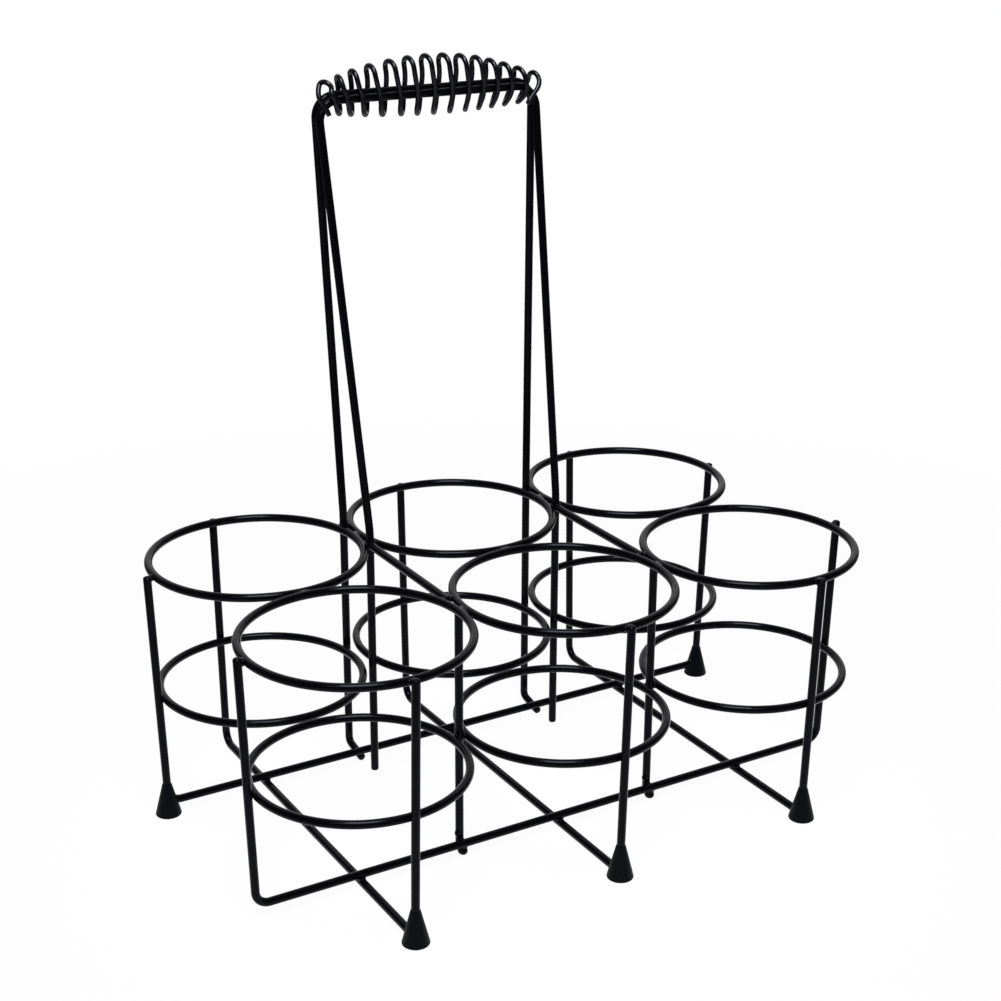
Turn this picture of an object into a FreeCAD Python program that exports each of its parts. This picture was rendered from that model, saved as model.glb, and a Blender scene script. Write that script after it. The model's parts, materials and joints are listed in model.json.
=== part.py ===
import FreeCAD, Part
import math
import os

from FreeCAD import Vector

# Wire caddy for six bottles: two levels of welded rings on bent base wires, a double wire handle with a
# coil round its grip, and rubber boots under the base. Millimetres, +Z up, +Y towards the back row.
# The origin is on the table, under the middle of the outline.

# Driving dimensions: wire and rings
wire_d = 3.5             # coated steel wire of the frame
weld_gap = 0.05          # gap between two welded wires, and between a wire and the boot pressed onto it
ring_inner_d = 88.0      # opening of an upper ring
upper_ring_z = 111.8     # wire centre of the upper rings, above the table
lower_ring_z = 54.2      # wire centre of the lower rings
end_round_share = 0.46   # rounding of a cut wire end, as a share of the wire's radius

# Driving dimensions: base wires
table_gap = 0.5          # underside of the cross frames, the lowest wires, above the table
base_bend_r = 6.0        # bends between the base wires and their posts
front_post_rise = 1.9    # tops of the front row's posts above the wire centre of the upper rings
back_post_rise = 0.4     # tops of the back row's posts

# Driving dimensions: boots
foot_base_d = 11.2
foot_wall = 0.28         # rubber round the wire at the boot's top
foot_neck = 2.8          # straight neck above the bend of the highest base wire
foot_edge_r = 0.45       # rounded edge on the table

# Driving dimensions: handle
grip_width = 105.0       # between the leg lines at the grip
grip_z = 300.3           # wire centre of the back grip wire
grip_back = 20.0         # back grip wire behind the centre line of the back row
grip_tilt = 30.0         # degrees by which the front grip wire lies below the back one
grip_bend_r = 9.0
lean_rise = 6.0          # start of the legs' lean above the upper rings
lean_bend_r = 40.0
hook_bend_r = 3.0
hook_knee_z = 5.0        # corner between a hook and its leg, above the table
hook_reach = 0.3         # hook tips in front of the back rail's centre line
front_leg_z = 2.2        # cut ends of the front handle wire

# Driving dimensions: front posts
front_hook_reach = 0.6   # hook tips in front of the front rail's centre line

# Driving dimensions: grip coil
coil_d = 2.2
coil_loops = 14
coil_clearance = 0.5     # between the coil's strands and the grip wires, front and back
coil_inset = 2.6         # end loops inside the leg lines
coil_shift = 2.2         # the coil's middle to the right of the grip's middle
coil_spread = 1.6        # how far the loops are drawn apart at the middle of the grip
coil_middle_shift = 0.9  # how far the middle loops are moved to the right of even spacing
coil_crowd_left = 2.3    # how far the loops of the left third are pushed to the left
coil_crowd_right = 1.1   # and those of the right third
coil_back_shift_left = 4.0   # back strands moved along the grip, at the left end
coil_back_shift_right = 1.6  # and at the right end
coil_front_shift = -0.3      # front strands
coil_low_shift_left = 3.4    # loop bottoms at the left end
coil_low_shift_right = -4.0  # loop bottoms at the right end
coil_rise_left = 6.4     # loop tops above the grip's middle line
coil_rise_right = 4.4
coil_rise_swell = 9.2    # added at the middle of the grip
coil_drop_left = 6.4     # loop bottoms below the grip's middle line
coil_drop_right = 7.6
coil_drop_swell = 2.4
coil_tail_out = 0.6      # cut ends in front of the other front strands, to pass the leaning legs
left_tail_in = 2.5       # cut end in front of the left corner: inside the leg line
left_tail_drop = 4.5     # and below the grip's middle line
left_turn_in = 0.2       # strand over the left corner: inside the leg line
left_turn_rise = 2.5     # and above the grip's middle line
right_turn_out = 0.4     # turn into the right tail: outside the leg line
right_turn_rise = 0.5    # above the grip's middle line
right_turn_share = 0.9   # and in front of the middle line, as a share of the coil's depth
right_tail_in = 5.0      # cut end in front of the right corner: inside the leg line
right_tail_drop = 6.4    # and below the grip's middle line

# Values that follow from the driving dimensions
wire_r = wire_d / 2
end_round = end_round_share * wire_r
touch = wire_d + weld_gap
upper_ring_r = ring_inner_d / 2 + wire_r
pitch = 2 * upper_ring_r + touch
lower_ring_r = math.hypot(pitch / 2, touch) - touch
cross_wire_z = table_gap + wire_r
rail_z = cross_wire_z + touch
post_lean = (upper_ring_r - lower_ring_r) / (upper_ring_z - lower_ring_z)
front_top_z = upper_ring_z + front_post_rise
back_top_z = upper_ring_z + back_post_rise
foot_r = foot_base_d / 2
foot_top_r = wire_r + foot_wall
foot_h = rail_z + base_bend_r + foot_neck


def post_reach(z):
    """Distance from a ring's axis to the centre of the leaning post outside both rings, at height z."""
    return lower_ring_r + post_lean * (z - lower_ring_z) + touch * math.hypot(1, post_lean)


# The boots reach further out at the front than the posts do at the back, so the rows stand back a little.
front_reach = pitch / 2 + post_reach(foot_h) + foot_r
back_reach = pitch / 2 + post_reach(back_top_z) + wire_r
middle_y = (front_reach - back_reach) / 2
columns = {"left": -pitch, "middle": 0.0, "right": pitch}
rows = {"back": middle_y + pitch / 2, "front": middle_y - pitch / 2}

leg_x = pitch / 2
nook = math.sqrt((upper_ring_r + touch) ** 2 - leg_x ** 2)
lean_z = upper_ring_z + lean_rise
grip_half = grip_width / 2
grip_y = rows["back"] + grip_back
grip_step_y = touch * math.cos(math.radians(grip_tilt))
grip_step_z = touch * math.sin(math.radians(grip_tilt))


def unit(vector):
    return vector * (1 / vector.Length)


def bent_path(points, radii):
    """Straight runs through the points, with a tangent arc of the given radius at each inner point."""
    path = []
    start = points[0]
    for before, corner, after, radius in zip(points, points[1:], points[2:], radii):
        arrive = unit(corner - before)
        leave = unit(after - corner)
        half_turn = arrive.getAngle(leave) / 2
        cut = radius * math.tan(half_turn)
        arc_start = corner - arrive * cut
        arc_end = corner + leave * cut
        arc_middle = corner + unit(leave - arrive) * (radius / math.cos(half_turn) - radius)
        path.append(Part.LineSegment(start, arc_start))
        path.append(Part.Arc(arc_start, arc_middle, arc_end))
        start = arc_end
    path.append(Part.LineSegment(start, points[-1]))
    return path


def tube(path, diameter):
    """Round bar along a path whose first run is straight."""
    first = path[0]
    circle = Part.makeCircle(diameter / 2, first.StartPoint, first.EndPoint - first.StartPoint)
    spine = Part.Wire([curve.toShape() for curve in path])
    return spine.makePipeShell([Part.Wire([circle])], True, False).Solids[0]


def round_ends(bar, radius):
    """The bar with the edges of its two cut ends rounded."""
    ends = [face for face in bar.Faces if isinstance(face.Surface, Part.Plane)]
    return bar.makeFillet(radius, [edge for face in ends for edge in face.Edges]).Solids[0]


def bent_wire(points, radii):
    return round_ends(tube(bent_path(points, radii), wire_d), end_round)


def base_points(middle, along, ring_reach, base_z, first_top_z, last_top_z):
    """Corner points of a base wire with a leaning post at each end, outside the outermost rings."""
    points = []
    for side, z in ((-1, first_top_z), (-1, base_z), (1, base_z), (1, last_top_z)):
        points.append(middle + along * (side * (ring_reach + post_reach(z))) + Vector(0, 0, z))
    return points


base_radii = [base_bend_r, base_bend_r]


def boot_profile():
    """Half section of a boot: flat base, rounded edge and a straight side up to the neck."""
    rim_x = foot_r - foot_edge_r
    side_x = foot_top_r - rim_x
    side_z = foot_h - foot_edge_r
    turn = math.atan2(side_z, side_x) - math.acos(foot_edge_r / math.hypot(side_x, side_z))
    edge = []
    for angle in (-math.pi / 2, (turn - math.pi / 2) / 2, turn):
        edge.append(Vector(rim_x + foot_edge_r * math.cos(angle), 0, foot_edge_r * (1 + math.sin(angle))))
    middle_low = Vector(0, 0, 0)
    middle_top = Vector(0, 0, foot_h)
    top = Vector(foot_top_r, 0, foot_h)
    outline = [Part.LineSegment(middle_low, edge[0]), Part.Arc(*edge), Part.LineSegment(edge[2], top)]
    outline += [Part.LineSegment(top, middle_top), Part.LineSegment(middle_top, middle_low)]
    return Part.Face(Part.Wire([curve.toShape() for curve in outline]))


def boot(frame_points, corner, post_end):
    """Conical rubber boot round one bend of a base wire, with its neck round the leaning post."""
    bend = frame_points[corner]
    post = frame_points[post_end] - bend
    neck = bend + post * ((foot_h - bend.z) / post.z)
    cone = boot_profile().revolve(Vector(0, 0, 0), Vector(0, 0, 1), 360)
    cone.translate(Vector(neck.x, neck.y, 0))
    channel = tube(bent_path(frame_points, base_radii), wire_d + 2 * weld_gap)
    return cone.cut(channel).Solids[0]


def handle_wire(right_points, right_radii):
    """Wire that goes up the right leg, along the grip and down the left leg."""
    left_points = [Vector(-point.x, point.y, point.z) for point in reversed(right_points)]
    return bent_wire(right_points + left_points, right_radii + right_radii[::-1])


def front_post(x):
    """Hook under the front rail, and post between the front rings, cut off under the upper two."""
    post_y = rows["front"] + touch
    beside = math.hypot(leg_x, touch) - upper_ring_r - (wire_r - end_round)
    below = math.sqrt((wire_r + weld_gap + end_round) ** 2 - beside ** 2) - end_round
    points = [
        Vector(x, rows["front"] - front_hook_reach, cross_wire_z),
        Vector(x, post_y, cross_wire_z),
        Vector(x, post_y, upper_ring_z - below),
    ]
    return bent_wire(points, [touch])


def tie(x):
    """Straight wire level with the upper rings, from between two front rings to the handle's front leg."""
    wedge_r = upper_ring_r + wire_r + weld_gap + end_round
    behind = math.sqrt(wedge_r ** 2 - (leg_x - wire_r + end_round) ** 2) - end_round
    leg_face = rows["back"] - nook - wire_r - weld_gap
    return bent_wire([Vector(x, rows["front"] + behind, upper_ring_z), Vector(x, leg_face, upper_ring_z)], [])


# The coil is worked out from one node per quarter turn: back, top, front and bottom of each loop.
coil_depth = (wire_d + grip_step_y) / 2 + coil_clearance + coil_d / 2
coil_y = grip_y - grip_step_y / 2
coil_z = grip_z - grip_step_z / 2
coil_length = grip_width - 2 * coil_inset


def blend(left, right, share):
    return left + (right - left) * share


def hump(share, start, end):
    """From 0 at the start to 1 half-way, and back to 0 at the end."""
    place = min(max((share - start) / (end - start), 0), 1)
    return math.sin(math.pi * place)


def coil_node(quarter):
    """Centre of the coil's wire after some quarter turns, counted from the back of the first loop."""
    share = (quarter - 1) / (4 * (coil_loops - 1))
    inside = min(max(share, 0), 1)
    swell = hump(share, 0, 1)
    rise = blend(coil_rise_left, coil_rise_right, inside) + coil_rise_swell * swell
    drop = blend(coil_drop_left, coil_drop_right, inside) + coil_drop_swell * swell
    low_shift = blend(coil_low_shift_left, coil_low_shift_right, inside)
    back_shift = blend(coil_back_shift_left, coil_back_shift_right, inside)
    x = coil_shift + coil_length * (share - 0.5) + coil_middle_shift * swell
    x -= coil_spread * math.sin(2 * math.pi * share)
    x -= coil_crowd_left * hump(share, 0, 1 / 3) + coil_crowd_right * hump(share, 2 / 3, 1)
    level = (rise - drop) / 2
    offsets = (
        (back_shift, coil_depth, level),
        (0, 0, rise),
        (coil_front_shift, -coil_depth, level),
        (low_shift, 0, -drop),
    )
    along, across, up = offsets[quarter % 4]
    return Vector(x + along, coil_y + across, coil_z + up)


def arc_from(start, heading, end):
    """Arc that leaves start along heading and meets end, or a line where end lies straight ahead."""
    straight = 1e-6
    chord = end - start
    along = unit(chord)
    side = heading - along * heading.dot(along)
    if side.Length < straight:
        return Part.LineSegment(start, end)
    half_turn = math.atan2(side.Length, heading.dot(along))
    rise = chord.Length / 2 * math.tan(half_turn / 2)
    return Part.Arc(start, start + chord * 0.5 + unit(side) * rise, end)


def biarc(start, heading, end, end_heading):
    """Two arcs, tangent to each other, that lead from one point and heading to the next."""
    chord = end - start
    both = heading + end_heading
    square = 2 * (1 - heading.dot(end_heading))
    ahead = chord.dot(both)
    reach = (math.sqrt(ahead ** 2 + square * chord.dot(chord)) - ahead) / square
    joint = (start + end + (heading - end_heading) * reach) * 0.5
    first = arc_from(start, heading, joint)
    second = arc_from(end, end_heading * -1, joint)
    if isinstance(second, Part.Arc):
        second = Part.Arc(joint, second.value((second.FirstParameter + second.LastParameter) / 2), end)
    else:
        second = Part.LineSegment(joint, end)
    return [first, second]


def coil_path():
    """Unbroken path of the coil: a tail in front of the left corner, the loops, and a tail at the right."""
    tail_y = coil_y - coil_depth - coil_tail_out
    left_tail = Vector(left_tail_in - grip_half, tail_y, coil_z - left_tail_drop)
    left_turn = Vector(left_turn_in - grip_half, coil_y - coil_depth / 2, coil_z + left_turn_rise)
    right_tail = Vector(grip_half - right_tail_in, tail_y, coil_z - right_tail_drop)
    right_turn_y = coil_y - coil_depth * right_turn_share
    right_turn = Vector(grip_half + right_turn_out, right_turn_y, coil_z + right_turn_rise)
    loops = [coil_node(quarter) for quarter in range(1, 4 * coil_loops - 2)]
    nodes = [left_tail, left_turn] + loops + [right_turn, right_tail]
    headings = [unit(after - before) for before, after in zip(nodes, nodes[2:])]
    headings = [unit(left_turn - left_tail)] + headings + [unit(right_tail - right_turn)]
    path = [Part.LineSegment(left_tail - headings[0] * coil_d, left_tail)]
    for step in range(len(nodes) - 1):
        path += biarc(nodes[step], headings[step], nodes[step + 1], headings[step + 1])
    path.append(Part.LineSegment(right_tail, right_tail + headings[-1] * coil_d))
    return path


def least_gap(path, diameter):
    """Least clear distance between strands of a tube, measured on points along its centre line."""
    points_per_diameter = 4
    same_strand = 6 * points_per_diameter
    points = []
    for curve in path:
        count = max(2, math.ceil(curve.length() / diameter * points_per_diameter))
        span = curve.LastParameter - curve.FirstParameter
        points += [curve.value(curve.FirstParameter + span * step / count) for step in range(count)]
    near = min(
        points[one].distanceToPoint(points[other])
        for one in range(len(points))
        for other in range(one + same_strand, len(points))
    )
    return near - diameter


def grip_coil():
    path = coil_path()
    radii = [curve.toShape().Curve.Radius for curve in path if isinstance(curve, Part.Arc)]
    print("coil: least gap to itself %.2f mm, least bend %.2f mm" % (least_gap(path, coil_d), min(radii)))
    return tube(path, coil_d)


pieces = {}
for level, ring_r, z in (("upper", upper_ring_r, upper_ring_z), ("lower", lower_ring_r, lower_ring_z)):
    for row, y in rows.items():
        for column, x in columns.items():
            name = "%s_ring_%s_%s" % (level, row, column)
            pieces[name] = Part.makeTorus(ring_r, wire_r, Vector(x, y, z))

for row, y in rows.items():
    top_z = {"front": front_top_z, "back": back_top_z}[row]
    rail_points = base_points(Vector(0, y, 0), Vector(1, 0, 0), pitch, rail_z, top_z, top_z)
    pieces[row + "_rail_frame"] = bent_wire(rail_points, base_radii)
    if row == "back":
        pieces["foot_back_left"] = boot(rail_points, 1, 0)
        pieces["foot_back_right"] = boot(rail_points, 2, 3)

for column, x in columns.items():
    cross_middle = Vector(x, middle_y, 0)
    cross_points = base_points(cross_middle, Vector(0, 1, 0), pitch / 2, cross_wire_z, front_top_z, back_top_z)
    pieces["cross_frame_" + column] = bent_wire(cross_points, base_radii)
    pieces["foot_front_" + column] = boot(cross_points, 1, 0)

back_leg_y = rows["back"] + nook
front_leg_y = rows["back"] - nook
hook_dip = math.asin(touch / math.hypot(nook, rail_z - hook_knee_z)) - math.atan2(rail_z - hook_knee_z, nook)
hook_tip_z = hook_knee_z - (nook + hook_reach) * math.tan(hook_dip)
pieces["handle_wire_back"] = handle_wire(
    [
        Vector(leg_x, rows["back"] - hook_reach, hook_tip_z),
        Vector(leg_x, back_leg_y, hook_knee_z),
        Vector(leg_x, back_leg_y, lean_z),
        Vector(grip_half, grip_y, grip_z),
    ],
    [hook_bend_r, lean_bend_r, grip_bend_r],
)
pieces["handle_wire_front"] = handle_wire(
    [
        Vector(leg_x, front_leg_y, front_leg_z),
        Vector(leg_x, front_leg_y, lean_z),
        Vector(grip_half, grip_y - grip_step_y, grip_z - grip_step_z),
    ],
    [lean_bend_r, grip_bend_r],
)
for side, x in (("left", -leg_x), ("right", leg_x)):
    pieces["front_post_" + side] = front_post(x)
    pieces["tie_" + side] = tie(x)
pieces["grip_coil"] = grip_coil()

os.makedirs("parts", exist_ok=True)
for name, shape in pieces.items():
    shape.exportStep("parts/%s.step" % name)
    print("%s: %.1f mm3, valid %s" % (name, shape.Volume, shape.isValid()))
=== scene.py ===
import json
import math

import bpy
import numpy as np
from mathutils import Matrix, Vector


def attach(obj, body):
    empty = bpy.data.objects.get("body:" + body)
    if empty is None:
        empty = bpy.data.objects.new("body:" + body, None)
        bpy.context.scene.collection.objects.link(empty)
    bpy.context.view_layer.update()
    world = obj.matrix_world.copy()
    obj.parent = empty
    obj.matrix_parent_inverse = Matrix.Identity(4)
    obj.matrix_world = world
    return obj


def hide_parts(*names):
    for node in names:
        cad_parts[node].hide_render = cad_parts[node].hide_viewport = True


# Looks of the wire bottle caddy: coating, rubber, weld fillets and the wound grip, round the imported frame.
# Lengths of the object are in millimetres and become metres where a mesh is made.
# Floor, lamps and distances on the floor are in metres.

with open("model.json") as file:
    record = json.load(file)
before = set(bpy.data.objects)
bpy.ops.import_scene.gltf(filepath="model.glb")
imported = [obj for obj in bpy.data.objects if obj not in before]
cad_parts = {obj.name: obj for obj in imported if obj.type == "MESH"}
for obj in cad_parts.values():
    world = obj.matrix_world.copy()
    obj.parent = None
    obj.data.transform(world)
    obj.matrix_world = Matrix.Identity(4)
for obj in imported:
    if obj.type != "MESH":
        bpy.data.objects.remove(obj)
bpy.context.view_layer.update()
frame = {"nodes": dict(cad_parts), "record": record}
nodes = frame["nodes"]
MM = 0.001

# Sizes of the frame that the added pieces sit on
wire_r = 1.75
touch = 3.55             # between the centre lines of two welded wires
ring_z = {"upper": 111.8, "lower": 54.2}
ring_r = {"upper": 45.75, "lower": 44.107}
pitch = 95.05            # between the axes of neighbouring rings
middle_y = 0.533         # middle between the rows
cross_wire_z = 2.25      # wire centre of the cross frames, the lowest wires
front_post_rise = 1.9    # tops of the front row's outer posts above the wire centre of the upper rings
back_post_rise = 0.4     # tops of the back row's outer posts
lean_rise = 6.0          # end of the upright part of the handle's legs above the upper rings
hook_knee_z = 5.0        # corner between a hook of the handle and its leg
front_hook_reach = 0.6   # tips of the front posts' hooks in front of the front rail's centre line
front_post_drop = 3.3    # end of a front post's centre line below the upper rings
tie_start = 12.2         # front ends of the ties behind the axes of the front rings

# Weld fillets: reach from the contact, width of the blend between the two wires, and grid step
weld_reach = 4.2
weld_blend = 2.0
weld_step = 0.3
weld_sink = 0.05         # run-out of a fillet under the wires' surfaces
ring_weld = {"reach": 4.8, "blend": 2.6}
post_weld = {"reach": 4.8}
front_hook_weld = {"reach": 5.0, "blend": 2.4}
tie_weld = {"reach": 4.6, "blend": 2.6}
drop_weld = {"reach": 3.4, "blend": 1.2}
lump_weld = {"reach": 3.4, "blend": 1.6}
handle_hook_back = 0.5   # contact of a handle hook behind the back rail's centre line
front_hook_off = 1.2     # contact of a front hook behind the front rail's centre line, and below it
post_top_aside = 1.0     # contact of a front post's top with an upper ring: beside the post
post_top_below = 1.7     # and below the ring's wire centre
run_past = 20.0          # how far the wires go on past a crossing of the base

# Coating on the front hooks, and weld metal beside each front post on the rail
drop_inset = 1.6         # middle of a drop behind the hook's tip
drop_r = 1.22 * wire_r
lump_offset = (-1.4, -0.4, 3.6)   # from the post's centre line at the rail's height
lump_r = 1.0
lump_to_post = 0.6       # from the lump's middle to its contact with the post

# Grip coil
grip_half = 52.5         # from the middle of the grip to a leg line
grip_back = 20.0         # back grip wire behind the axes of the back row
grip_z = 300.3           # wire centre of the back grip wire
grip_tilt = math.radians(30.0)
coil_r = 1.1
coil_loops = 14
coil_sides = 20
coil_arc_steps = 5
coil_clearance = 0.5     # between the coil's strands and the grip wires, front and back
coil_inset = 2.6         # end loops inside the leg lines
coil_shift = 2.2         # the coil's middle to the right of the grip's middle
coil_spread = 1.6        # how far the loops are drawn apart at the middle of the grip
coil_middle_shift = 0.9  # how far the middle loops are moved to the right of even spacing
coil_crowd_left = 2.3    # how far the loops of the left third are pushed to the left
coil_crowd_right = 1.1   # and those of the right third
coil_back_shift = (4.0, 1.6)   # back strands moved along the grip, at the left and right ends
coil_front_shift = -0.3        # front strands
coil_low_shift = (3.4, -4.0)   # loop bottoms
coil_rise = (6.4, 4.4)   # loop tops above the grip's middle line, at the left and right ends
coil_rise_swell = 9.2    # added at the middle of the grip
coil_drop = (6.4, 7.6)   # loop bottoms below the grip's middle line
coil_drop_swell = 2.4
coil_tail_out = 0.6      # cut ends in front of the other front strands
left_tail_in = 2.5       # cut end at the left corner: inside the leg line
left_tail_drop = 4.5     # and below the grip's middle line
left_turn_in = 0.2       # strand over the left corner: inside the leg line
left_turn_rise = 2.5     # and above the grip's middle line
right_turn_out = 0.4     # turn into the right tail: outside the leg line
right_turn_rise = 0.5    # above the grip's middle line
right_turn_share = 0.9   # and in front of the middle line, as a share of the coil's depth
right_tail_in = 5.0      # cut end at the right corner: inside the leg line
right_tail_drop = 6.4    # and below the grip's middle line

# Values that follow
columns = (-pitch, 0.0, pitch)
rows = {"back": middle_y + pitch / 2, "front": middle_y - pitch / 2}
rail_z = cross_wire_z + touch
crossing_z = (rail_z + cross_wire_z) / 2
post_top_z = {"front": ring_z["upper"] + front_post_rise, "back": ring_z["upper"] + back_post_rise}
post_lean = (ring_r["upper"] - ring_r["lower"]) / (ring_z["upper"] - ring_z["lower"])
leg_x = pitch / 2
nook = math.sqrt((ring_r["upper"] + touch) ** 2 - leg_x ** 2)
front_post_y = rows["front"] + touch
grip_y = rows["back"] + grip_back
grip_step_y = touch * math.cos(grip_tilt)
grip_step_z = touch * math.sin(grip_tilt)
coil_depth = (2 * wire_r + grip_step_y) / 2 + coil_clearance + coil_r
coil_y = grip_y - grip_step_y / 2
coil_z = grip_z - grip_step_z / 2
coil_length = 2 * grip_half - 2 * coil_inset


def post_reach(z):
    """Distance from a ring's axis to the centre of the leaning post outside it, at height z."""
    return ring_r["lower"] + post_lean * (z - ring_z["lower"]) + touch * math.hypot(1, post_lean)


# Meshes

def unit(vector):
    return vector / np.linalg.norm(vector)


def add_piece(name, points, faces, material, slot):
    """Smooth mesh piece from points in millimetres, carried by the frame."""
    mesh = bpy.data.meshes.new(name)
    mesh.from_pydata((np.asarray(points) * MM).tolist(), [], faces)
    mesh.polygons.foreach_set("use_smooth", [True] * len(mesh.polygons))
    mesh.materials.append(material)
    mesh.update()
    piece = bpy.data.objects.new(name, mesh)
    bpy.context.scene.collection.objects.link(piece)
    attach(piece, "root")
    return piece


def sweep(line, radius, sides):
    """Round tube along a line of points, with rounded cut ends."""
    aside = (0.3, 1.0, 0.2)
    rounding = [(0.00, 0.62), (0.10, 0.82), (0.26, 0.95)]   # distance from the cut and width, in radii
    line = np.asarray(line, float)
    tangents = np.gradient(line, axis=0)
    tangents /= np.linalg.norm(tangents, axis=1)[:, None]
    normal = unit(np.cross(tangents[0], aside))
    turns = np.linspace(0, 2 * math.pi, sides, endpoint=False)
    rings = []
    for index, (centre, tangent) in enumerate(zip(line, tangents)):
        normal = unit(normal - tangent * normal.dot(tangent))
        side = np.cross(tangent, normal)
        circle = np.outer(np.cos(turns), normal) + np.outer(np.sin(turns), side)
        if index in (0, len(line) - 1):
            inward = 1 if index == 0 else -1
            end = [centre + (tangent * inward * back + circle * share) * radius for back, share in rounding]
            rings += end[::inward]
        else:
            rings.append(centre + circle * radius)
    faces = []
    for index in range(len(rings) - 1):
        low, high = index * sides, (index + 1) * sides
        for here in range(sides):
            after = (here + 1) % sides
            faces.append((low + here, low + after, high + after, high + here))
    last = (len(rings) - 1) * sides
    faces.append(tuple(range(sides))[::-1])
    faces.append(tuple(last + here for here in range(sides)))
    return np.concatenate(rings), faces


def surface_net(field, low, step):
    """Closed mesh of the surface where a field sampled on a grid changes sign."""
    inside = field < 0
    size = np.array(field.shape) - 1
    corners = [(i, j, k) for i in (0, 1) for j in (0, 1) for k in (0, 1)]

    def shifted(grid, corner):
        return grid[tuple(slice(c, c + n) for c, n in zip(corner, size))]

    count = sum(shifted(inside, corner).astype(int) for corner in corners)
    mixed = (count > 0) & (count < len(corners))
    number = np.full(size, -1)
    number[mixed] = np.arange(mixed.sum())
    total = np.zeros((mixed.sum(), 3))
    hits = np.zeros(mixed.sum())
    for one in corners:
        for axis in range(3):
            if one[axis]:
                continue
            other = tuple(c + (a == axis) for a, c in enumerate(one))
            here, there = shifted(field, one)[mixed], shifted(field, other)[mixed]
            crossed = (here < 0) != (there < 0)
            share = here[crossed] / (here[crossed] - there[crossed])
            place = np.tile(np.array(one, float), (len(share), 1))
            place[:, axis] += share
            total[crossed] += place
            hits[crossed] += 1
    points = low + (np.argwhere(mixed) + total / hits[:, None]) * step
    faces = []
    for axis in range(3):
        b, c = (axis + 1) % 3, (axis + 2) % 3
        ahead = np.roll(inside, -1, axis)
        for spot in np.argwhere(inside != ahead):
            if np.any(spot >= size) or min(spot[b], spot[c]) < 1:
                continue
            quad = []
            for db, dc in ((-1, -1), (0, -1), (0, 0), (-1, 0)):
                cell = spot.copy()
                cell[b] += db
                cell[c] += dc
                quad.append(int(number[tuple(cell)]))
            faces.append(tuple(quad) if inside[tuple(spot)] else tuple(quad[::-1]))
    return points, faces


# Fields of the wires: the distance of points from a wire's surface

def smooth_min(one, other, width):
    """Lesser of two fields, rounded where they differ by less than the width."""
    share = np.clip(width - np.abs(one - other), 0, None) / width
    return np.minimum(one, other) - share ** 2 * width / 4


def ring(level, x, y):
    """Field of a ring."""
    def field(points):
        flat = np.hypot(points[..., 0] - x, points[..., 1] - y)
        return np.hypot(flat - ring_r[level], points[..., 2] - ring_z[level]) - wire_r
    return field


def wire(*corners):
    """Field of a round-ended wire along straight runs."""
    corners = np.array(corners, float)

    def run(points, start, end):
        along = end - start
        share = np.clip(((points - start) @ along) / along.dot(along), 0, 1)
        return np.linalg.norm(points - (start + share[..., None] * along), axis=-1) - wire_r

    def field(points):
        return np.min([run(points, start, end) for start, end in zip(corners, corners[1:])], axis=0)
    return field


def bead(centre, radius):
    """Field of a ball."""
    return lambda points: np.linalg.norm(points - np.array(centre), axis=-1) - radius


def domed_post(x, row, out):
    """Field of the leaning post outside a ring of a row, on the side out, with a slightly domed top."""
    crown_r, crown_rise, edge = 2.6, 0.4, 0.4
    ends = []
    for z in (rail_z, post_top_z[row]):
        ends.append(np.array([x + out[0] * post_reach(z), rows[row] + out[1] * post_reach(z), z]))
    top = ends[1]
    axis = unit(ends[1] - ends[0])

    def field(points):
        away = points - top
        side = np.linalg.norm(away - (away @ axis)[..., None] * axis, axis=-1) - wire_r
        crown = np.linalg.norm(away + axis * (crown_r - crown_rise), axis=-1) - crown_r
        return -smooth_min(-side, -crown, edge)
    return field


def quarter_bend(corner, before, after, radius, steps=8):
    """Points on the bend between two runs at a right angle."""
    corner, before, after = (np.array(vector, float) for vector in (corner, before, after))
    centre = corner - before * radius + after * radius
    turns = np.linspace(0, math.pi / 2, steps + 1)
    return [centre - after * radius * math.cos(turn) + before * radius * math.sin(turn) for turn in turns]


def front_post(x):
    """Field of the post between two front rings, from its hook under the rail to its cut top."""
    hook_bend = quarter_bend((x, front_post_y, cross_wire_z), (0, 1, 0), (0, 0, 1), touch)
    hook_tip = (x, rows["front"] - front_hook_reach + wire_r, cross_wire_z)
    return wire(hook_tip, *hook_bend, (x, front_post_y, ring_z["upper"] - front_post_drop))


def upright_leg(x, y):
    """Field of the upright part of a handle leg beside the rings."""
    return wire((x, y, ring_z["lower"]), (x, y, ring_z["upper"] + lean_rise))


# Weld fillets, worked out from the fields of the two wires that meet

def weld(spot, one, other, reach=weld_reach, blend=weld_blend):
    """Mesh of the fillet between two wires at a contact, which runs out just under their surfaces."""
    spot = np.asarray(spot, float)
    low = spot - reach - 2 * weld_step
    count = int(math.ceil(2 * (reach + 2 * weld_step) / weld_step)) + 1
    axes = [low[axis] + weld_step * np.arange(count) for axis in range(3)]
    points = np.stack(np.meshgrid(*axes, indexing="ij"), axis=-1)
    away = np.linalg.norm(points - spot, axis=-1)
    width = blend * np.clip(1 - (away / reach) ** 2, 0.02, 1)
    joined = smooth_min(one(points) + weld_sink, other(points) + weld_sink, width)
    return surface_net(np.maximum(joined, away - reach), low, weld_step)


def side_weld(x, y, level, ring_x, ring_y, other, **size):
    """Fillet between an upright or level wire through (x, y) and a ring beside it."""
    towards = unit(np.array([ring_x - x, ring_y - y, 0.0]))
    spot = np.array([x, y, ring_z[level]]) + towards * touch / 2
    return weld(spot, ring(level, ring_x, ring_y), other, **size)


def collect(meshes):
    """One mesh from several."""
    points, faces, offset = [], [], 0
    for some_points, some_faces in meshes:
        points.append(some_points)
        faces += [tuple(index + offset for index in face) for face in some_faces]
        offset += len(some_points)
    return np.concatenate(points), faces


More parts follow.
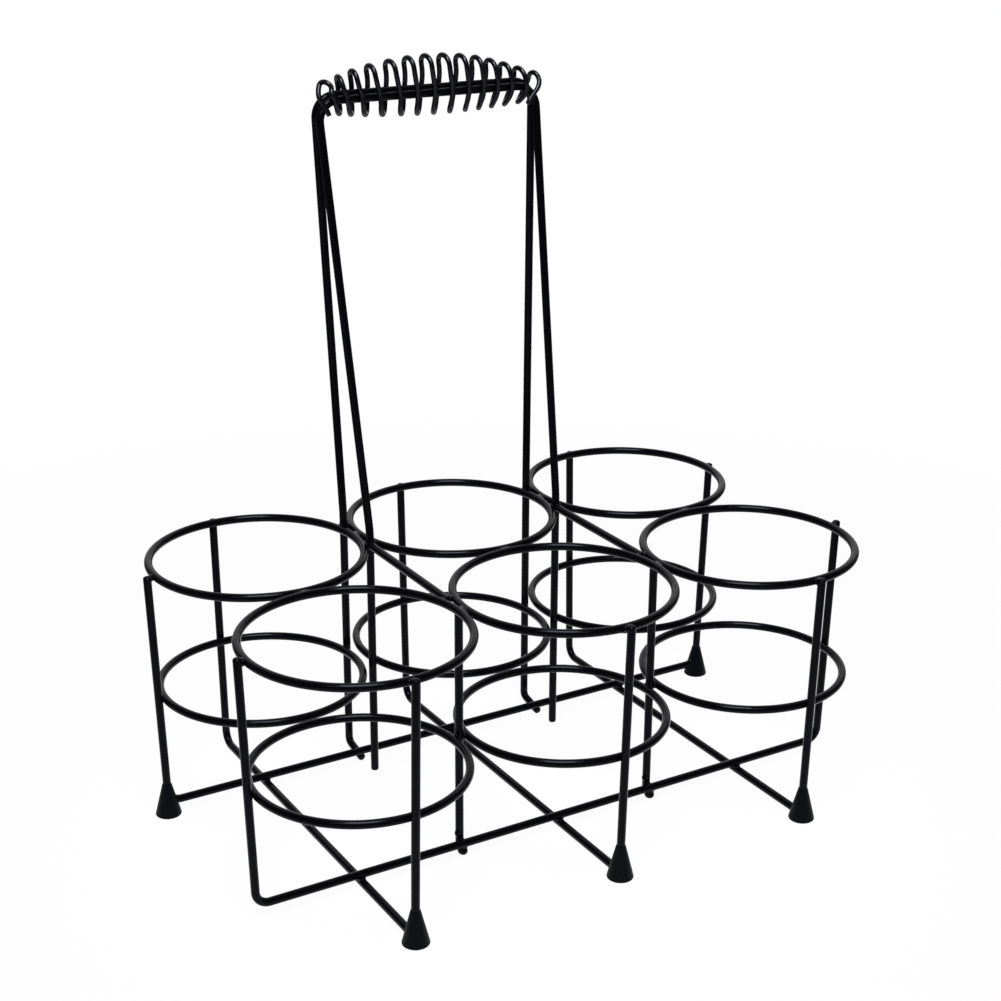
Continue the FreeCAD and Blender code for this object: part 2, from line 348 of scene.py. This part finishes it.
def ring_welds():
    """Contacts between neighbouring upper rings."""
    z = ring_z["upper"]
    made = []
    for y in rows.values():
        for x in (-leg_x, leg_x):
            left, right = ring("upper", x - leg_x, y), ring("upper", x + leg_x, y)
            made.append(weld((x, y, z), left, right, **ring_weld))
    for x in columns:
        back, front = ring("upper", x, rows["back"]), ring("upper", x, rows["front"])
        made.append(weld((x, middle_y, z), back, front, **ring_weld))
    return made


def post_welds(level):
    """Contacts between the outer posts and the rings of one level."""
    places = [(x, "front", (0, -1)) for x in columns] + [(x, "back", (0, 1)) for x in columns]
    for row in rows:
        places += [(-pitch, row, (-1, 0)), (pitch, row, (1, 0))]
    made = []
    for x, row, out in places:
        away = ring_r[level] + touch / 2
        spot = (x + out[0] * away, rows[row] + out[1] * away, ring_z[level])
        made.append(weld(spot, ring(level, x, rows[row]), domed_post(x, row, out), **post_weld))
    return made


def handle_welds():
    """Contacts of the handle: its legs with the upper rings of the back row, its hooks with the back rail."""
    made = []
    rail = wire((-pitch, rows["back"], rail_z), (pitch, rows["back"], rail_z))
    for x in (-leg_x, leg_x):
        for side in (-1, 1):
            y = rows["back"] + side * nook
            for ring_x in (x - leg_x, x + leg_x):
                made.append(side_weld(x, y, "upper", ring_x, rows["back"], upright_leg(x, y)))
        hook = wire((x, rows["back"] + wire_r, cross_wire_z), (x, rows["back"] + nook, hook_knee_z))
        made.append(weld((x, rows["back"] + handle_hook_back, crossing_z), rail, hook))
    return made


def front_post_welds():
    """Contacts of the front posts: with the four rings beside and over each, and the front rail."""
    made = []
    rail = wire((-pitch, rows["front"], rail_z), (pitch, rows["front"], rail_z))
    for x in (-leg_x, leg_x):
        post = front_post(x)
        for ring_x in (x - leg_x, x + leg_x):
            made.append(side_weld(x, front_post_y, "lower", ring_x, rows["front"], post))
            aside = math.copysign(post_top_aside, ring_x - x)
            under_ring = (x + aside, front_post_y, ring_z["upper"] - post_top_below)
            made.append(weld(under_ring, ring("upper", ring_x, rows["front"]), post))
        on_rail = (x, rows["front"] + front_hook_off, rail_z - front_hook_off)
        made.append(weld(on_rail, rail, post, **front_hook_weld))
    return made


def tie_welds():
    """Contacts of the ties: with the two front rings at one end and the handle's front leg at the other."""
    made = []
    z = ring_z["upper"]
    front_y = rows["front"] + tie_start
    leg_y = rows["back"] - nook
    for x in (-leg_x, leg_x):
        bar = wire((x, front_y + wire_r, z), (x, leg_y - touch / 2 - wire_r, z))
        for ring_x in (x - leg_x, x + leg_x):
            made.append(side_weld(x, front_y, "upper", ring_x, rows["front"], bar, **tie_weld))
        made.append(weld((x, leg_y - touch / 2, z), upright_leg(x, leg_y), bar))
    return made


def base_welds():
    """Crossings of the rails over the cross frames."""
    made = []
    for y in rows.values():
        rail = wire((-pitch - run_past, y, rail_z), (pitch + run_past, y, rail_z))
        for x in columns:
            cross = wire((x, y - run_past, cross_wire_z), (x, y + run_past, cross_wire_z))
            made.append(weld((x, y, crossing_z), rail, cross))
    return made


def hook_beads():
    """Drops of coating on the tips of the front hooks, and weld metal beside each front post on the rail."""
    made = []
    for x in (-leg_x, leg_x):
        post = front_post(x)
        tip = np.array([x, rows["front"] - front_hook_reach + drop_inset, cross_wire_z])
        made.append(weld(tip, post, bead(tip, drop_r), **drop_weld))
        lump = np.array([x, front_post_y, rail_z]) + lump_offset
        made.append(weld(lump + (lump_to_post, 0, 0), post, bead(lump, lump_r), **lump_weld))
    return made


# Grip coil, on the same nodes as the frame's solid: one for each quarter turn of a loop

def between_ends(ends, share):
    return ends[0] + (ends[1] - ends[0]) * share


def hump(share, start, end):
    """From 0 at the start to 1 half-way, and back to 0 at the end."""
    return math.sin(math.pi * min(max((share - start) / (end - start), 0), 1))


def coil_node(quarter):
    """Centre of the coil's wire after some quarter turns, counted from the back of the first loop."""
    share = (quarter - 1) / (4 * (coil_loops - 1))
    inside = min(max(share, 0), 1)
    swell = hump(share, 0, 1)
    rise = between_ends(coil_rise, inside) + coil_rise_swell * swell
    drop = between_ends(coil_drop, inside) + coil_drop_swell * swell
    x = coil_shift + coil_length * (share - 0.5) + coil_middle_shift * swell
    x -= coil_spread * math.sin(2 * math.pi * share)
    x -= coil_crowd_left * hump(share, 0, 1 / 3) + coil_crowd_right * hump(share, 2 / 3, 1)
    level = (rise - drop) / 2
    offsets = (
        (between_ends(coil_back_shift, inside), coil_depth, level),
        (0, 0, rise),
        (coil_front_shift, -coil_depth, level),
        (between_ends(coil_low_shift, inside), 0, -drop),
    )
    along, across, up = offsets[quarter % 4]
    return np.array([x + along, coil_y + across, coil_z + up])


def arc_points(start, heading, end):
    """Points on the arc that leaves start along heading and meets end, or on a line where end lies ahead."""
    straight = 1e-6
    chord = end - start
    side = chord - heading * chord.dot(heading)
    if np.linalg.norm(side) < straight:
        return [start + chord * step / coil_arc_steps for step in range(coil_arc_steps + 1)]
    half_turn = math.atan2(np.linalg.norm(side), chord.dot(heading))
    radius = np.linalg.norm(chord) / (2 * math.sin(half_turn))
    turns = np.linspace(0, 2 * half_turn, coil_arc_steps + 1)
    return [start + radius * (math.sin(turn) * heading + (1 - math.cos(turn)) * unit(side)) for turn in turns]


def coil_line():
    """Centre line of the coil: a tail in front of the left corner, the loops, and a tail at the right."""
    tail_y = coil_y - coil_depth - coil_tail_out
    left_tail = np.array([left_tail_in - grip_half, tail_y, coil_z - left_tail_drop])
    left_turn = np.array([left_turn_in - grip_half, coil_y - coil_depth / 2, coil_z + left_turn_rise])
    right_turn_y = coil_y - coil_depth * right_turn_share
    right_turn = np.array([grip_half + right_turn_out, right_turn_y, coil_z + right_turn_rise])
    right_tail = np.array([grip_half - right_tail_in, tail_y, coil_z - right_tail_drop])
    loops = [coil_node(quarter) for quarter in range(1, 4 * coil_loops - 2)]
    spots = [left_tail, left_turn] + loops + [right_turn, right_tail]
    headings = [unit(after - before) for before, after in zip(spots, spots[2:])]
    headings = [unit(left_turn - left_tail)] + headings + [unit(right_tail - right_turn)]
    line = [left_tail - headings[0] * 2 * coil_r]
    for start, end, leave, arrive in zip(spots, spots[1:], headings, headings[1:]):
        chord = end - start
        square = 2 * (1 - leave.dot(arrive))
        ahead = chord.dot(leave + arrive)
        reach = (math.sqrt(ahead ** 2 + square * chord.dot(chord)) - ahead) / square
        joint = (start + end + (leave - arrive) * reach) / 2
        line += arc_points(start, leave, joint)[:-1]
        line += arc_points(end, -arrive, joint)[:0:-1]
    line += [right_tail, right_tail + headings[-1] * 2 * coil_r]
    return line


# Materials

def new_material(name):
    material = bpy.data.materials.new(name)
    material.use_nodes = True
    tree = material.node_tree
    shader = tree.nodes["Principled BSDF"]
    return material, tree, shader


def noise(tree, scale, detail, where):
    node = tree.nodes.new("ShaderNodeTexNoise")
    node.inputs["Scale"].default_value = scale
    node.inputs["Detail"].default_value = detail
    tree.links.new(where, node.inputs["Vector"])
    return node.outputs["Fac"]


def ramp(tree, value, given, result):
    """Number that goes from result[0] to result[1] while the value goes from given[0] to given[1]."""
    node = tree.nodes.new("ShaderNodeMapRange")
    node.inputs["From Min"].default_value = given[0]
    node.inputs["From Max"].default_value = given[1]
    node.inputs["To Min"].default_value = result[0]
    node.inputs["To Max"].default_value = result[1]
    tree.links.new(value, node.inputs["Value"])
    return node.outputs["Result"]


def between_colours(tree, value, dark, light):
    node = tree.nodes.new("ShaderNodeValToRGB")
    node.color_ramp.elements[0].color = (*dark, 1)
    node.color_ramp.elements[1].color = (*light, 1)
    tree.links.new(value, node.inputs["Fac"])
    return node.outputs["Color"]


def combined(tree, operation, one, other):
    node = tree.nodes.new("ShaderNodeMath")
    node.operation = operation
    tree.links.new(one, node.inputs[0])
    tree.links.new(other, node.inputs[1])
    return node.outputs[0]


def surface(name, dark, light, smooth, rough, gloss, grain, bump):
    """Black finish with a fine skin: colour and roughness vary in patches, the bump at the grain's scale."""
    patch_scale, patch_detail, patch_range = 55.0, 3.0, (0.3, 0.7)
    skin_detail, skin_depth = 2.0, 0.0001
    cool_sheen = (0.80, 0.83, 1.0, 1)
    material, tree, shader = new_material(name)
    where = tree.nodes.new("ShaderNodeTexCoord").outputs["Object"]
    patches = noise(tree, patch_scale, patch_detail, where)
    skin = noise(tree, grain, skin_detail, where)
    tree.links.new(between_colours(tree, patches, dark, light), shader.inputs["Base Color"])
    tree.links.new(ramp(tree, patches, patch_range, (smooth, rough)), shader.inputs["Roughness"])
    shader.inputs["Specular IOR Level"].default_value = gloss
    shader.inputs["Specular Tint"].default_value = cool_sheen
    relief = tree.nodes.new("ShaderNodeBump")
    relief.inputs["Strength"].default_value = bump
    relief.inputs["Distance"].default_value = skin_depth
    tree.links.new(skin, relief.inputs["Height"])
    tree.links.new(relief.outputs["Normal"], shader.inputs["Normal"])
    return material


black = {"dark": (0.0010, 0.0010, 0.0018), "light": (0.0022, 0.0022, 0.0034)}
coating = surface("black_coating", **black, smooth=0.11, rough=0.16, gloss=0.09, grain=1400.0, bump=0.07)
coil_coating = surface("coil_coating", **black, smooth=0.12, rough=0.17, gloss=0.40, grain=1400.0, bump=0.06)
rubber_black = {"dark": (0.0018, 0.0023, 0.0034), "light": (0.0036, 0.0042, 0.0058)}
rubber = surface("boot_rubber", **rubber_black, smooth=0.42, rough=0.52, gloss=0.07, grain=2400.0, bump=0.3)

finish_of = {"coated_wire": coating, "coil_wire": coil_coating, "boot_rubber": rubber}
for subpart in frame["record"]["subparts"]:
    node = nodes[subpart["node"]]
    node.data.materials.clear()
    node.data.materials.append(finish_of[subpart["material_slot"]])

# Pieces

coil = add_piece("grip_coil_wound", *sweep(coil_line(), coil_r, coil_sides), coil_coating, "coil_wire")
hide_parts("grip_coil")
weld_groups = {
    "welds_ring_to_ring": ring_welds(),
    "welds_upper_posts": post_welds("upper"),
    "welds_lower_posts": post_welds("lower"),
    "welds_handle": handle_welds(),
    "welds_front_posts": front_post_welds(),
    "welds_ties": tie_welds(),
    "welds_base": base_welds(),
    "hook_beads": hook_beads(),
}
for name, welds in weld_groups.items():
    add_piece(name, *collect(welds), coating, "coated_wire")

# Floor, light and camera

camera_azimuth = math.radians(-30.648)
camera_elevation = math.radians(20.262)
camera_roll = math.radians(-0.268)


def soft_light(name, size, watts, place, aim):
    light = bpy.data.lights.new(name, "AREA")
    light.shape = "RECTANGLE"
    light.size, light.size_y = size
    light.energy = watts
    lamp = bpy.data.objects.new(name, light)
    lamp.location = place
    lamp.rotation_mode = "QUATERNION"
    lamp.rotation_quaternion = (Vector(aim) - Vector(place)).to_track_quat("-Z", "Y")
    bpy.context.scene.collection.objects.link(lamp)


def seen_directly(tree, mirrored_share):
    """1 for camera rays, the share for glossy and transmission rays, otherwise 0."""
    path = tree.nodes.new("ShaderNodeLightPath")
    mirrored = combined(tree, "MAXIMUM", path.outputs["Is Glossy Ray"], path.outputs["Is Transmission Ray"])
    mirrored = combined(tree, "MULTIPLY", mirrored, mirrored_share)
    return combined(tree, "MAXIMUM", path.outputs["Is Camera Ray"], mirrored)


def white_floor():
    """White where it is seen, with a faint shadow; its colour and the white that the finish mirrors form a
    painted pool of light near the object with painted shade further out, and a painted pale glow in front
    that only the finish mirrors.
    """
    half = 8.0
    # Painted pool of light: the floor's colour and mirrored glow are white near the object and turn to
    # painted shade further out; in front of the object, a painted pale glow that only the finish mirrors.
    pool_edge, pool_shades = (0.16, 0.40), (1.0, 0.14)
    front_glow_edge, front_glow_shares = (-0.60, -0.44), (0.55, 0.0)
    shadow_edge, shadow_shares = (0.2, 0.6), (0.96, 1.0)
    corners = [(-half, -half, 0), (half, -half, 0), (half, half, 0), (-half, half, 0)]
    mesh = bpy.data.meshes.new("floor")
    mesh.from_pydata(corners, [], [(0, 1, 2, 3)])
    floor = bpy.data.objects.new("floor", mesh)
    bpy.context.scene.collection.objects.link(floor)
    material, tree, shader = new_material("floor_white")
    shader.inputs["Roughness"].default_value = 0.9
    shader.inputs["Specular IOR Level"].default_value = 0.0
    position = tree.nodes.new("ShaderNodeNewGeometry").outputs["Position"]
    away = tree.nodes.new("ShaderNodeVectorMath")
    away.operation = "LENGTH"
    tree.links.new(position, away.inputs[0])
    behind = tree.nodes.new("ShaderNodeVectorMath")
    behind.operation = "DOT_PRODUCT"
    behind.inputs[1].default_value = (-math.sin(camera_azimuth), math.cos(camera_azimuth), 0)
    tree.links.new(position, behind.inputs[0])
    # Painted pool of light and painted shade by distance, and a painted reflection of a pale glow in front,
    # both seen by the finish.
    painted_pool = ramp(tree, away.outputs["Value"], pool_edge, pool_shades)
    painted_front_glow = ramp(tree, behind.outputs["Value"], front_glow_edge, front_glow_shares)
    mirrored = combined(tree, "MAXIMUM", painted_pool, painted_front_glow)
    tree.links.new(painted_pool, shader.inputs["Base Color"])
    glow = tree.nodes.new("ShaderNodeEmission")
    share = ramp(tree, away.outputs["Value"], shadow_edge, shadow_shares)
    either = tree.nodes.new("ShaderNodeMixShader")
    tree.links.new(combined(tree, "MULTIPLY", share, seen_directly(tree, mirrored)), either.inputs["Fac"])
    tree.links.new(shader.outputs["BSDF"], either.inputs[1])
    tree.links.new(glow.outputs["Emission"], either.inputs[2])
    tree.links.new(either.outputs["Shader"], tree.nodes["Material Output"].inputs["Surface"])
    mesh.materials.append(material)


def white_world():
    """White where it is seen, a white backdrop behind the object for its highlights, and a dim even fill."""
    level, up = 0.8, 0.6
    backdrop_edge = (0.64, 0.86)
    fill = 0.12
    world = bpy.data.worlds.new("studio")
    world.use_nodes = True
    tree = world.node_tree
    behind = tree.nodes.new("ShaderNodeVectorMath")
    behind.operation = "DOT_PRODUCT"
    behind.inputs[1].default_value = (-level * math.sin(camera_azimuth), level * math.cos(camera_azimuth), up)
    tree.links.new(tree.nodes.new("ShaderNodeTexCoord").outputs["Generated"], behind.inputs[0])
    backdrop = ramp(tree, behind.outputs["Value"], backdrop_edge, (0.0, 1.0))
    strength = ramp(tree, seen_directly(tree, backdrop), (0.0, 1.0), (fill, 1.0))
    background = tree.nodes["Background"]
    background.inputs["Color"].default_value = (1, 1, 1, 1)
    tree.links.new(strength, background.inputs["Strength"])
    bpy.context.scene.world = world


def photo_camera():
    """Camera at the photograph's viewpoint."""
    target = Vector((29.955, 54.869, 111.8)) * MM
    distance = 856.4 * MM
    back = Vector((
        math.sin(camera_azimuth) * math.cos(camera_elevation),
        -math.cos(camera_azimuth) * math.cos(camera_elevation),
        math.sin(camera_elevation),
    ))
    level = (-back).cross(Vector((0, 0, 1))).normalized()
    upright = level.cross(-back)
    right = level * math.cos(camera_roll) - upright * math.sin(camera_roll)
    up = level * math.sin(camera_roll) + upright * math.cos(camera_roll)
    lens = bpy.data.cameras.new("camera")
    lens.sensor_width = 36.0
    lens.lens = 66.54
    lens.clip_start = 0.01
    lens.clip_end = 50.0
    camera = bpy.data.objects.new("camera", lens)
    axes = Matrix((right, up, back)).transposed()
    camera.matrix_world = Matrix.Translation(target + back * distance) @ axes.to_4x4()
    bpy.context.scene.collection.objects.link(camera)
    bpy.context.scene.camera = camera


white_floor()
white_world()
soft_light("overhead", size=(0.42, 0.56), watts=13.0, place=(-0.22, -0.37, 1.22), aim=(0.0, 0.0, 0.1))
soft_light("front_panel", size=(0.9, 0.34), watts=3.4, place=(-0.43, -0.73, 1.05), aim=(0.0, 0.0, 0.2))
photo_camera()
bpy.context.scene.view_settings.view_transform = "Standard"
